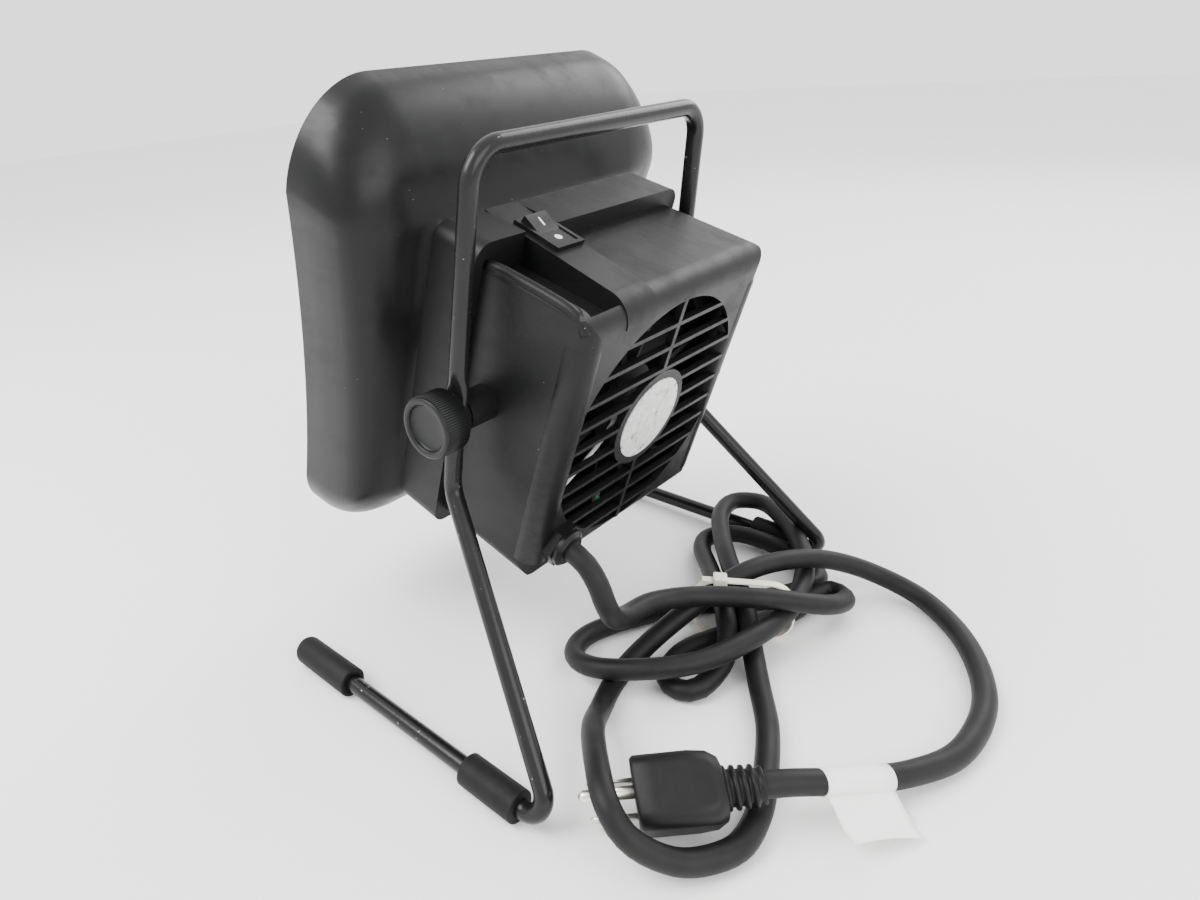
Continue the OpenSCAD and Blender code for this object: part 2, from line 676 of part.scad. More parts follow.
// Route of the cord from inside the gland, measured from the point of the bench
// below the tilt axis. The first part belongs to the head, the rest lies still.
exit_route = [[50, 13, 83.4], [50, 32.1, 77.6], [50, 40.3, 73.6], [50, 46.4, 66.2]];
cord_route = [
    [50, 47, 65.2], [49, 50, 56], [43, 50, 46], [30, 47, 38], [8, 48, 34], [-14, 61, 31],
    [-37, 86, 28], [-58, 101, 20], [-75, 104, 13], [-86, 101, 9], [-89, 93, 8], [-79, 88, 7],
    [-60, 84, 5.3], [-30, 71, 5.3], [-6, 61, 5.3], [10, 60, 5.3], [21, 64, 5.3], [24, 72, 5.3],
    [17, 79, 6], [-4, 79, 9], [-24, 69, 15], [-45, 52, 15], [-64, 37, 11], [-84, 21, 7],
    [-99, 17, 6], [-108, 28, 8], [-110, 44, 9], [-109, 62, 8], [-106, 76, 6], [-97, 83, 5.3],
    [-83, 80, 5.3], [-60, 66, 5.3], [-34, 43, 5.3], [-8, 27, 5.3], [18, 17, 5.3], [36, 21, 7],
    [44, 36, 12], [37, 57, 17], [14, 77, 18], [-20, 88, 19], [-54, 88, 16], [-86, 80, 15],
    [-107, 67, 18], [-124, 48, 20], [-132, 32, 20], [-125, 18, 19], [-108, 19, 18], [-86, 32, 18],
    [-62, 50, 19], [-41, 69, 17], [-21, 84, 10], [-2, 98, 5.3], [20, 113, 5.3], [46, 125, 5.3],
    [64, 131, 5.3], [82, 132, 5.3], [99, 124, 7], [109, 115, 12], [115, 106, 20], [114, 97, 28],
    [103, 85, 28], [82, 67, 20], [60, 54, 7],
    [34, 46, 5.3], [8, 48, 12], [-22, 57, 23], [-50, 66, 29], [-76, 77, 27], [-98, 89, 20],
    [-113, 107, 11], [-112, 132, 6], [-90, 157, 5.3], [-56, 174, 5.3], [-20, 176, 5.3],
    [8, 166, 8], [34, 151, 14], [53, 138, 19], [62, 131, 20]];

module on_bench() { translate([0, pivot_y, 0]) children(); }

module cord_exit() {
    color("#2a2b2c") on_bench() tube(smooth(exit_route, 99), cord_d, 12, first = [0, 19.1, -5.8]);
}

module power_cord() {
    color("#2a2b2c") on_bench() tube(smooth(cord_route, 32), cord_d, 12, first = [0, 0.496, -0.868]);
}

// The plug lies on its side past the cord's end
plug_at = [62, 131, 20];
plug_dir = unit([0.68, -0.74, -0.12]);

// Drawn along +Z from the end of the cord's relief
module at_plug() {
    on_bench() translate(plug_at) rotate([0, acos(plug_dir.z), atan2(plug_dir.y, plug_dir.x)])
        rotate([0, 0, 60]) children();
}

module plug_relief() {
    color("#1c1d1e") at_plug() difference() {
        union() {
            cylinder(r1 = 6.6, r2 = 8, h = 14, $fn = round_fn);
            for (z = [2, 6, 10]) translate([0, 0, z]) cylinder(r = 8, h = 2, $fn = round_fn);
        }
        translate([0, 0, -1]) cylinder(r = 5.05, h = 2, $fn = round_fn);
    }
}

module plug_body() {
    color("#1c1d1e") at_plug() intersection() {
        translate([0, 0, 14]) linear_extrude(plug_len) round_rect(-13.5, -12, 13.5, 12, 6, 9);
        translate([0, 0, 14]) cylinder(r1 = 11.5, r2 = 30, h = plug_len, $fn = round_fn);
    }
}

module plug_blades() {
    color("#c9c9c6") at_plug() for (x = [-6.35, 6.35])
        translate([x - 0.75, -6.2, 14 + plug_len]) cube([1.5, 6.35, 18.3]);
}

module ground_pin() {
    color("#c9c9c6") at_plug() translate([0, 8.6, 14 + plug_len]) {
        cylinder(r = 2.4, h = 19.2, $fn = round_fn);
        translate([0, 0, 19.2]) intersection() {
            sphere(r = 2.4, $fn = round_fn);
            cylinder(r = 3, h = 3, $fn = round_fn);
        }
    }
}

// Strap round the bundle
module cord_tie() {
    color("#e4dfc9") on_bench() translate([-36, 71, 0]) rotate([0, 0, -58]) slab(-2.2, 2.2) difference() {
        round_rect(-24, 0, 24, 35, 12, 15);
        round_rect(-22.8, 1, 22.8, 33.8, 11, 14);
    }
}

// Blank paper flag folded round the cord
module cord_tag() {
    color("#f1f1ee") on_bench() translate([28.5, 152.5, 11]) rotate([-14, 0, -30])
        translate([-15, 2, -0.3]) cube([30, 20, 0.6]);
}

stand_rod();
foot_sleeve_left();
foot_sleeve_right();
foot_cap_left();
foot_cap_right();
hood();
collar();
rear_housing();
switch_duct();
rocker_bezel();
rocker_button();
rocker_terminals();
knob_left();
knob_right();
knob_stud_left();
knob_stud_right();
pivot_boss_left();
pivot_boss_right();
pivot_inserts();
pivot_washers();
fan_frame();
fan_impeller();
fan_shaft();
fan_bearings();
fan_stator();
fan_screws();
filter_frame();
filter_pad();
hub_label();
cord_gland();
gland_nut();
cord_exit();
lead_line();
lead_neutral();
lead_ground();
ground_screw();
power_cord();
plug_body();
plug_relief();
plug_blades();
ground_pin();
cord_tie();
cord_tag();
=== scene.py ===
import json
import math

import bmesh
import bpy
from mathutils import Matrix, Vector, noise


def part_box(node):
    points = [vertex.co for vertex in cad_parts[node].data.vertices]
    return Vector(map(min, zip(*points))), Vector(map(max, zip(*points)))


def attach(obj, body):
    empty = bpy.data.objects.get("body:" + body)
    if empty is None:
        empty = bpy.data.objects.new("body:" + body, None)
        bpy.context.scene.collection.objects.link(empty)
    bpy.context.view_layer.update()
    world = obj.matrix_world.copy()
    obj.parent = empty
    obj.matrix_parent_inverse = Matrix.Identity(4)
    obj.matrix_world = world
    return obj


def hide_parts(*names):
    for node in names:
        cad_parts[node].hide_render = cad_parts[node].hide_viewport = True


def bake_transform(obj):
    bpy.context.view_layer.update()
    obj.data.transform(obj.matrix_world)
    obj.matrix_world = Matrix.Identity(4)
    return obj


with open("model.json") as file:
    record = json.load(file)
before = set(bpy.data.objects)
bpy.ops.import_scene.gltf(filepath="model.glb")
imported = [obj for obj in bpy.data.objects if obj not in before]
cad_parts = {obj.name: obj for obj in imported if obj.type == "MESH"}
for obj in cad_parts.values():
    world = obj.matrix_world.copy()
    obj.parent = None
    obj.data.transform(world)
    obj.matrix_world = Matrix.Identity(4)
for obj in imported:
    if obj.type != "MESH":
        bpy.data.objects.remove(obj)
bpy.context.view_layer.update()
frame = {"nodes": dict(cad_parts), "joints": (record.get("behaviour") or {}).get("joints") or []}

# ---------------------------------------------------------------- places

MM = 0.001
joints = {j["name"]: j for j in frame["joints"]}
PIVOT = Vector(joints["head_tilt"]["pos_m"])
FLOW = Vector(joints["fan_spin"]["axis"])            # out of the rear grille
TILT = math.atan2(-FLOW.z, FLOW.y)
BENCH = Vector((0, PIVOT.y, 0))                      # on the bench below the tilt axis
HEAD = Matrix.Translation(PIVOT) @ Matrix.Rotation(-TILT, 4, "X")

BOX_HALF = (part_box("rear_housing")[1].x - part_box("rear_housing")[0].x) / 2 / MM
BOX_REAR = 43
COLLAR_HALF, COLLAR_TOP, COLLAR_BOTTOM = 71, 68, -79
SWITCH = Vector((31, -10.5, 65.75))
DUCT_FALL = -5.76
FOOT_X, FOOT_Z = 123, 7
ROD_R = 4
CORD_D = 10
HOOD_WALL = 2.6


def head(x, y, z):
    """A point given in millimetres about the level tilt axis, at rest in the row frame."""
    return HEAD @ (Vector((x, y, z)) * MM)


def bench(x, y, z):
    """A point given in millimetres about the point of the bench below the tilt axis."""
    return BENCH + Vector((x, y, z)) * MM


# ---------------------------------------------------------------- camera

def make_camera():
    data = bpy.data.cameras.new("camera")
    data.sensor_width = 36
    data.lens = 24.9
    data.shift_x = 0.1326
    data.shift_y = -0.0415
    data.clip_start = 0.01
    camera = bpy.data.objects.new("camera", data)
    bpy.context.scene.collection.objects.link(camera)
    azimuth, elevation, roll = (math.radians(a) for a in (138.32, 22.36, -5.12))
    forward = Vector((-math.sin(azimuth) * math.cos(elevation),
                      math.cos(azimuth) * math.cos(elevation), -math.sin(elevation)))
    level = Vector((math.cos(azimuth), math.sin(azimuth), 0))
    up = level.cross(forward)
    right = level * math.cos(roll) + up * math.sin(roll)
    top = up * math.cos(roll) - level * math.sin(roll)
    turn = Matrix((right, top, -forward)).transposed().to_4x4()
    camera.matrix_world = Matrix.Translation(bench(296.77, 231.70, 283.81)) @ turn
    bpy.context.scene.camera = camera


make_camera()

# ---------------------------------------------------------------- mesh helpers


def piece(name, verts, faces, mat=None, smooth=True, fix=False):
    mesh = bpy.data.meshes.new(name)
    mesh.from_pydata([tuple(v) for v in verts], [], faces)
    if fix:
        b = bmesh.new()
        b.from_mesh(mesh)
        bmesh.ops.remove_doubles(b, verts=b.verts, dist=1e-7)
        bmesh.ops.recalc_face_normals(b, faces=b.faces)
        b.to_mesh(mesh)
        b.free()
    mesh.polygons.foreach_set("use_smooth", [smooth] * len(mesh.polygons))
    o = bpy.data.objects.new(name, mesh)
    bpy.context.scene.collection.objects.link(o)
    if mat:
        mesh.materials.append(mat)
    return o


def finish_piece(o, body, slot, *nodes):
    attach(o, body)
    if nodes:
        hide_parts(*nodes)
    return o


def apply_modifiers(o):
    """Turns the piece with its modifiers into a plain mesh."""
    bpy.context.view_layer.update()
    mesh = bpy.data.meshes.new_from_object(o.evaluated_get(bpy.context.evaluated_depsgraph_get()))
    o.modifiers.clear()
    o.data = mesh
    return o


def bevelled(o, width, segments=3, angle=35):
    """Rounds a piece's sharp edges by width, given in millimetres."""
    m = o.modifiers.new("edges", "BEVEL")
    m.width = width * MM
    m.segments = segments
    m.limit_method = "ANGLE"
    m.angle_limit = math.radians(angle)
    m.harden_normals = True
    return apply_modifiers(o)


def join(name, parts):
    """One mesh from several, keeping the first part's material."""
    b = bmesh.new()
    for p in parts:
        b.from_mesh(p.data)
    mesh = bpy.data.meshes.new(name)
    b.to_mesh(mesh)
    b.free()
    for m in parts[0].data.materials:
        mesh.materials.append(m)
    mesh.polygons.foreach_set("use_smooth", [True] * len(mesh.polygons))
    for p in parts:
        bpy.data.objects.remove(p)
    o = bpy.data.objects.new(name, mesh)
    bpy.context.scene.collection.objects.link(o)
    return o


def smooth_line(points, step):
    """Points every step metres or so along a smooth curve through the given ones."""
    out = []
    for i in range(len(points) - 1):
        b, c = points[i], points[i + 1]
        a = points[i - 1] if i else 2 * b - c
        d = points[i + 2] if i + 2 < len(points) else 2 * c - b
        n = max(1, round((c - b).length / step))
        for k in range(n):
            t = k / n
            out.append(0.5 * (2 * b + (c - a) * t + (2 * a - 5 * b + 4 * c - d) * t * t
                              + (3 * b - a - 3 * c + d) * t ** 3))
    out.append(points[-1].copy())
    return out


def sweep(name, line, radius, sides=24, mat=None, closed=False, grow=None):
    """A tube along line; grow(share of the length, angle) scales its radius."""
    n = len(line)
    tangents = []
    for i in range(n):
        ahead = line[(i + 1) % n] if closed or i + 1 < n else line[i]
        behind = line[i - 1] if closed or i else line[i]
        tangents.append((ahead - behind).normalized())
    side = tangents[0].orthogonal().normalized()
    verts, faces = [], []
    for i in range(n):
        side = (side - side.dot(tangents[i]) * tangents[i]).normalized()
        other = tangents[i].cross(side)
        for k in range(sides):
            a = 2 * math.pi * k / sides
            r = radius * (grow(i / (n - 1), a) if grow else 1)
            verts.append(line[i] + r * (math.cos(a) * side + math.sin(a) * other))
    for i in range(n if closed else n - 1):
        for k in range(sides):
            a, b = i * sides + k, i * sides + (k + 1) % sides
            c, d = (a + sides) % len(verts), (b + sides) % len(verts)
            faces.append((a, b, d, c))
    if not closed:
        faces.append(tuple(range(sides - 1, -1, -1)))
        faces.append(tuple(range((n - 1) * sides, n * sides)))
    return piece(name, verts, faces, mat)


def lathe(name, profile, place, steps=64, mat=None, wave=None):
    """Turns profile, (radius, height) pairs in millimetres, about place's Z axis."""
    verts, faces = [], []
    for r, h in profile:
        for k in range(steps):
            a = 2 * math.pi * k / steps
            s = r + (wave(r, h, a) if wave else 0)
            verts.append(place @ Vector((s * math.cos(a) * MM, s * math.sin(a) * MM, h * MM)))
    for i in range(len(profile) - 1):
        for k in range(steps):
            a, b = i * steps + k, i * steps + (k + 1) % steps
            faces.append((a, b, b + steps, a + steps))
    faces.append(tuple(range(steps - 1, -1, -1)))
    faces.append(tuple(range(len(verts) - steps, len(verts))))
    return piece(name, verts, faces, mat, fix=True)


def arc(cx, cy, r, a0, a1, n=6):
    """Points (radius, height) on an arc, angles in degrees."""
    return [(cx + r * math.cos(math.radians(a0 + (a1 - a0) * i / n)),
             cy + r * math.sin(math.radians(a0 + (a1 - a0) * i / n))) for i in range(n + 1)]


def frame_at(origin, axis, up=Vector((0, 0, 1))):
    """A placement whose Z runs along axis."""
    z = Vector(axis).normalized()
    x = Vector(up).cross(z)
    x = x.normalized() if x.length > 1e-6 else z.orthogonal().normalized()
    return Matrix.Translation(origin) @ Matrix((x, z.cross(x), z)).transposed().to_4x4()


def block(name, place, low, high, mat, edge):
    """Box between two corners in millimetres of place, with rounded edges."""
    xs, ys, zs = zip(low, high)
    verts = [place @ (Vector((x, y, z)) * MM) for z in zs for y in ys for x in xs]
    faces = [(0, 2, 3, 1), (4, 5, 7, 6), (0, 1, 5, 4), (2, 6, 7, 3), (0, 4, 6, 2), (1, 3, 7, 5)]
    return bevelled(piece(name, verts, faces, mat, True, True), edge, 3)


# ---------------------------------------------------------------- material helpers


class Nodes:
    """A material's node tree, with one method for each kind of node used here."""

    def __init__(self, name):
        self.mat = bpy.data.materials.new(name)
        self.mat.use_nodes = True
        self.tree = self.mat.node_tree
        self.tree.nodes.clear()
        self.out = self.tree.nodes.new("ShaderNodeOutputMaterial")
        self.shader = self.tree.nodes.new("ShaderNodeBsdfPrincipled")
        self.tree.links.new(self.shader.outputs[0], self.out.inputs[0])
        self.coord = self.tree.nodes.new("ShaderNodeTexCoord").outputs["Object"]

    def link(self, a, b):
        self.tree.links.new(a, b)

    def set(self, **values):
        for k, v in values.items():
            self.shader.inputs[k.replace("_", " ")].default_value = v

    def noise(self, scale, detail=3, rough=0.55, stretch=None):
        n = self.tree.nodes.new("ShaderNodeTexNoise")
        n.inputs["Scale"].default_value = scale
        n.inputs["Detail"].default_value = detail
        n.inputs["Roughness"].default_value = rough
        where = self.coord
        if stretch:
            m = self.tree.nodes.new("ShaderNodeMapping")
            m.inputs["Scale"].default_value = stretch
            self.link(self.coord, m.inputs["Vector"])
            where = m.outputs[0]
        self.link(where, n.inputs["Vector"])
        return n.outputs["Fac"]

    def cells(self, scale):
        n = self.tree.nodes.new("ShaderNodeTexVoronoi")
        n.inputs["Scale"].default_value = scale
        self.link(self.coord, n.inputs["Vector"])
        return n.outputs["Distance"]

    def ramp(self, value, low, high, a=(0, 0, 0, 1), b=(1, 1, 1, 1)):
        n = self.tree.nodes.new("ShaderNodeValToRGB")
        n.color_ramp.elements[0].position = low
        n.color_ramp.elements[1].position = high
        n.color_ramp.elements[0].color = a
        n.color_ramp.elements[1].color = b
        self.link(value, n.inputs[0])
        return n.outputs[0]

    def mix(self, share, a, b):
        n = self.tree.nodes.new("ShaderNodeMix")
        n.data_type = "RGBA"
        for socket, v in ((n.inputs[0], share), (n.inputs[6], a), (n.inputs[7], b)):
            if isinstance(v, (int, float, tuple)):
                socket.default_value = v
            else:
                self.link(v, socket)
        return n.outputs[2]

    def span(self, value, low, high):
        n = self.tree.nodes.new("ShaderNodeMapRange")
        n.inputs["To Min"].default_value = low
        n.inputs["To Max"].default_value = high
        self.link(value, n.inputs["Value"])
        return n.outputs[0]

    def maths(self, kind, a, b):
        n = self.tree.nodes.new("ShaderNodeMath")
        n.operation = kind
        for socket, v in ((n.inputs[0], a), (n.inputs[1], b)):
            if isinstance(v, (int, float)):
                socket.default_value = v
            else:
                self.link(v, socket)
        return n.outputs[0]

    def bump(self, height, strength, distance):
        n = self.tree.nodes.new("ShaderNodeBump")
        n.inputs["Strength"].default_value = strength
        n.inputs["Distance"].default_value = distance
        self.link(height, n.inputs["Height"])
        last = self.shader.inputs["Normal"].links
        if last:
            self.link(last[0].from_socket, n.inputs["Normal"])
        self.link(n.outputs[0], self.shader.inputs["Normal"])


def grey(v, warm=0.0):
    return (v * (1 + warm), v, v * (1 - warm), 1)


def moulded(name, base, rough, grain, dust=0.5, grain_size=1900):
    """Black moulded plastic: fine spark texture, faint cloudiness and specks of dust."""
    n = Nodes(name)
    cloud = n.noise(18, 4)
    fine = n.noise(grain_size, 2, 0.7)
    specks = n.ramp(n.cells(260), 0.035, 0.05, (1, 1, 1, 1), (0, 0, 0, 1))
    patches = n.ramp(n.noise(55, 2), 0.56, 0.62)
    seen = n.maths("MULTIPLY", n.maths("MULTIPLY", specks, patches), dust)
    body = n.mix(cloud, grey(base * 0.8, -0.02), grey(base * 1.25, -0.03))
    n.link(n.mix(seen, body, grey(0.35)), n.shader.inputs["Base Color"])
    scuff = n.ramp(n.noise(70, 5, 0.7, (1, 0.25, 1)), 0.45, 0.75)
    n.link(n.span(scuff, rough - 0.05, rough + 0.12), n.shader.inputs["Roughness"])
    n.set(Specular_IOR_Level=0.2)
    n.bump(fine, grain, 0.0002)
    n.bump(n.noise(9, 2), 0.12, 0.002)
    return n.mat


def enamel(name):
    """Glossy black paint on steel, chipped here and there down to the metal."""
    n = Nodes(name)
    chips = n.ramp(n.noise(330, 4, 0.6), 0.68, 0.7)
    zones = n.ramp(n.noise(28, 2), 0.5, 0.6)
    bare = n.maths("MULTIPLY", chips, zones)
    paint = n.mix(n.noise(40, 3), grey(0.004), grey(0.010))
    n.link(n.mix(bare, paint, (0.42, 0.4, 0.38, 1)), n.shader.inputs["Base Color"])
    n.link(bare, n.shader.inputs["Metallic"])
    n.link(n.span(n.noise(120, 4), 0.16, 0.34), n.shader.inputs["Roughness"])
    n.set(Specular_IOR_Level=0.25)
    n.bump(n.noise(420, 3), 0.14, 0.0004)
    return n.mat


def rubber(name, base, rough, mottle=220, bumps=0.35):
    """Rubber with a dull bloom and small pits."""
    n = Nodes(name)
    bloom = n.ramp(n.noise(mottle, 5, 0.7), 0.35, 0.8)
    n.link(n.mix(bloom, grey(base * 0.75), grey(base * 1.5, 0.02)), n.shader.inputs["Base Color"])
    n.link(n.span(n.noise(80, 4), rough - 0.08, rough + 0.1), n.shader.inputs["Roughness"])
    n.set(Specular_IOR_Level=0.2)
    n.bump(n.noise(1200, 3, 0.7), bumps, 0.0002)
    return n.mat


def plated(name, colour, rough, worn=0.25):
    """Plated metal with fine rubbed scratches and duller patches."""
    n = Nodes(name)
    dull = n.ramp(n.noise(160, 5, 0.7), 0.4, 0.75)
    dark = tuple(c * 0.55 for c in colour) + (1,)
    n.link(n.mix(n.maths("MULTIPLY", dull, worn), colour + (1,), dark), n.shader.inputs["Base Color"])
    n.set(Metallic=1.0)
    rubbed = n.noise(600, 4, 0.6, (1, 0.1, 1))
    n.link(n.span(rubbed, rough - 0.06, rough + 0.16), n.shader.inputs["Roughness"])
    n.bump(n.noise(1500, 2, 0.6, (1, 0.06, 1)), 0.12, 0.0001)
    return n.mat


def worn_foil():
    """Blank silvered label, rubbed through to grey in places."""
    n = Nodes("label_worn_foil")
    rub = n.ramp(n.noise(150, 6, 0.72), 0.56, 0.68)
    stain = n.ramp(n.noise(320, 4, 0.8), 0.45, 0.7)
    silver = n.mix(stain, (0.55, 0.55, 0.54, 1), (0.8, 0.8, 0.79, 1))
    n.link(n.mix(rub, silver, (0.10, 0.10, 0.10, 1)), n.shader.inputs["Base Color"])
    n.link(n.span(rub, 0.42, 0.65), n.shader.inputs["Roughness"])
    n.set(Metallic=0.25)
    n.bump(rub, 0.35, 0.0003)
    return n.mat


def nylon():
    n = Nodes("tie_ivory_nylon")
    tone = n.mix(n.noise(140, 3), (0.78, 0.74, 0.60, 1), (0.86, 0.83, 0.72, 1))
    n.link(tone, n.shader.inputs["Base Color"])
    n.link(n.span(n.noise(300, 3), 0.3, 0.45), n.shader.inputs["Roughness"])
    n.set(Subsurface_Weight=0.15, Subsurface_Radius=(0.003, 0.002, 0.001))
    return n.mat


def paper():
    n = Nodes("tag_plain_paper")
    n.link(n.mix(n.noise(60, 4), (0.86, 0.86, 0.84, 1), (0.93, 0.93, 0.92, 1)), n.shader.inputs["Base Color"])
    n.link(n.span(n.noise(500, 3), 0.7, 0.85), n.shader.inputs["Roughness"])
    n.bump(n.noise(900, 4, 0.7), 0.25, 0.0001)
    return n.mat


def plain(name, colour, rough, metallic=0.0, grain=900):
    """A quiet finish for inner parts: slight tone changes and a fine grain."""
    n = Nodes(name)
    dark = tuple(c * 0.8 for c in colour) + (1,)
    n.link(n.mix(n.noise(90, 3), dark, colour + (1,)), n.shader.inputs["Base Color"])
    n.link(n.span(n.noise(200, 3), rough - 0.05, rough + 0.1), n.shader.inputs["Roughness"])
    n.set(Metallic=metallic)
    n.bump(n.noise(grain, 2), 0.15, 0.0002)
    return n.mat


def open_foam():
    """Carbon-loaded foam: dark open cells."""
    n = Nodes("filter_carbon_foam")
    holes = n.cells(420)
    n.link(n.ramp(holes, 0.1, 0.6, grey(0.006), grey(0.05)), n.shader.inputs["Base Color"])
    n.set(Roughness=0.95)
    n.bump(holes, 0.9, 0.001)
    return n.mat


def stage_white():
    n = Nodes("bench_white")
    n.link(n.mix(n.noise(3, 3), (0.90, 0.90, 0.89, 1), (0.93, 0.93, 0.925, 1)), n.shader.inputs["Base Color"])
    n.set(Roughness=0.6)
    return n.mat


HOOD_BLACK = moulded("hood_black_moulding", 0.004, 0.36, 0.10, dust=0.6)
BODY_BLACK = moulded("housing_textured_black", 0.005, 0.45, 0.40, dust=0.8, grain_size=1500)
SWITCH_BLACK = moulded("switch_smooth_black", 0.005, 0.33, 0.05, dust=0.3)
KNOB_BLACK = moulded("knob_black_phenolic", 0.007, 0.42, 0.18, dust=0.5)
FAN_BLACK = moulded("fan_black_glassfill", 0.004, 0.5, 0.2, dust=0.2)
ROD_ENAMEL = enamel("rod_black_enamel")
FOOT_RUBBER = rubber("foot_black_rubber", 0.005, 0.6)
CORD_RUBBER = rubber("cord_grey_rubber", 0.008, 0.5, mottle=60, bumps=0.12)
PLUG_RUBBER = rubber("plug_black_rubber", 0.005, 0.45, mottle=120, bumps=0.12)
NICKEL = plated("pin_nickel", (0.78, 0.76, 0.70), 0.26)
ZINC = plated("screw_zinc", (0.62, 0.63, 0.65), 0.32)
BRASS = plated("terminal_brass", (0.72, 0.54, 0.24), 0.3)
COPPER = plated("winding_copper", (0.60, 0.28, 0.13), 0.35)
LABEL = worn_foil()
TIE = nylon()
TAG = paper()
FOAM = open_foam()
MARK_WHITE = plain("switch_mark_white", (0.85, 0.85, 0.83), 0.5)
LEADS = {"lead_line": plain("lead_black", (0.02, 0.02, 0.02), 0.4),
         "lead_neutral": plain("lead_white", (0.82, 0.82, 0.79), 0.4),
         "lead_ground": plain("lead_green", (0.05, 0.32, 0.10), 0.4)}

# ---------------------------------------------------------------- cord

EXIT_ROUTE = [(50, 13, 83.4), (50, 32.1, 77.6), (50, 40.3, 73.6), (50, 46.4, 66.2)]
CORD_ROUTE = [
    (49, 50, 56), (43, 50, 46), (30, 47, 38), (8, 48, 34), (-14, 61, 31),
    (-37, 86, 28), (-58, 101, 20), (-75, 104, 13), (-86, 101, 9), (-89, 93, 8), (-79, 88, 7),
    (-60, 84, 5.3), (-30, 71, 5.3), (-6, 61, 5.3), (10, 60, 5.3), (21, 64, 5.3), (24, 72, 5.3),
    (17, 79, 6), (-4, 79, 9), (-24, 69, 15), (-45, 52, 15), (-64, 37, 11), (-84, 21, 7),
    (-99, 17, 6), (-108, 28, 8), (-110, 44, 9), (-109, 62, 8), (-106, 76, 6), (-97, 83, 5.3),
    (-83, 80, 5.3), (-60, 66, 5.3), (-34, 43, 5.3), (-8, 27, 5.3), (18, 17, 5.3), (36, 21, 7),
    (44, 36, 12), (37, 57, 17), (14, 77, 18), (-20, 88, 19), (-54, 88, 16), (-86, 80, 15),
    (-107, 67, 18), (-124, 48, 20), (-132, 32, 20), (-125, 18, 19), (-108, 19, 18), (-86, 32, 18),
    (-62, 50, 19), (-41, 69, 17), (-21, 84, 10), (-2, 98, 5.3), (20, 113, 5.3), (46, 125, 5.3),
    (64, 131, 5.3), (82, 132, 5.3), (99, 124, 7), (109, 115, 12), (115, 106, 20), (114, 97, 28),
    (103, 85, 28), (82, 67, 20), (60, 54, 7),
    (34, 46, 5.3), (8, 48, 12), (-22, 57, 23), (-50, 66, 29), (-76, 77, 27), (-98, 89, 20),
    (-113, 107, 11), (-112, 132, 6), (-90, 157, 5.3), (-56, 174, 5.3), (-20, 176, 5.3),
    (8, 166, 8), (34, 151, 14), (53, 138, 19), (62, 131, 20)]
PLUG_DIR = Vector((0.68, -0.74, -0.12)).normalized()
PLUG_AT = bench(62, 131, 20)
PLUG = Matrix.Translation(PLUG_AT) @ Matrix.Rotation(math.atan2(PLUG_DIR.y, PLUG_DIR.x), 4, "Z") \
    @ Matrix.Rotation(math.acos(PLUG_DIR.z), 4, "Y") @ Matrix.Rotation(math.pi / 3, 4, "Z")
cord_line = smooth_line([bench(*p) for p in EXIT_ROUTE[1:] + CORD_ROUTE], 0.004)


def make_cord():
    # it starts a little inside the gland and ends a little inside the plug's relief
    start = bench(*EXIT_ROUTE[1]) - Vector((0, 0.956, -0.292)) * 0.006
    line = [start] + cord_line + [cord_line[-1] + PLUG_DIR * 0.002]
    return sweep("cord_sheath", line, CORD_D / 2 * MM, 20, CORD_RUBBER)


cord = make_cord()


def make_plug():
    """Moulded plug: a grip with flat sides that narrows to a ribbed relief."""
    # distance from the relief's end, half width, half height, corner radius
    sections = [(14, 8.6, 8.6, 8.6), (15, 11, 10.4, 8), (19, 13, 11.6, 7), (26, 13.5, 12, 6),
                (40, 13.5, 12, 6), (46.6, 13.4, 11.9, 5.6), (48, 12.4, 11, 5)]
    corner_points = 12
    verts, faces = [], []
    for z, w, h, r in sections:
        corners = ((w - r, h - r, 0), (r - w, h - r, 90), (r - w, r - h, 180), (w - r, r - h, 270))
        for cx, cy, a0 in corners:
            for x, y in arc(cx, cy, r, a0, a0 + 90, corner_points - 1):
                verts.append(PLUG @ Vector((x * MM, y * MM, z * MM)))
    n = corner_points * 4
    rows = len(sections)
    for i in range(rows - 1):
        for k in range(n):
            a, b = i * n + k, i * n + (k + 1) % n
            faces.append((a, b, b + n, a + n))
    faces.append(tuple(range(n - 1, -1, -1)))
    faces.append(tuple(range((rows - 1) * n, rows * n)))
    body = piece("plug_moulding", verts, faces, PLUG_RUBBER, fix=True)
    finish_piece(bevelled(body, 0.5, 2, 50), "stand", "plug_rubber", "plug_body")

    profile = [(5.0, -0.4), (6.6, -0.4), (7.0, 0)]
    for i in range(4):
        z = 1.4 + 3.4 * i
        profile += [(6.1 + 0.2 * i, z), (6.1 + 0.2 * i, z + 0.9), (7.4 + 0.15 * i, z + 1.3),
                    (7.7 + 0.15 * i, z + 1.7), (7.7 + 0.15 * i, z + 2.5), (7.4 + 0.15 * i, z + 2.9)]
    profile += [(8.4, 15.2), (5.0, 15.2)]
    relief = lathe("plug_relief_ribs", profile, PLUG, 40, PLUG_RUBBER)
    finish_piece(relief, "stand", "plug_rubber", "plug_relief")


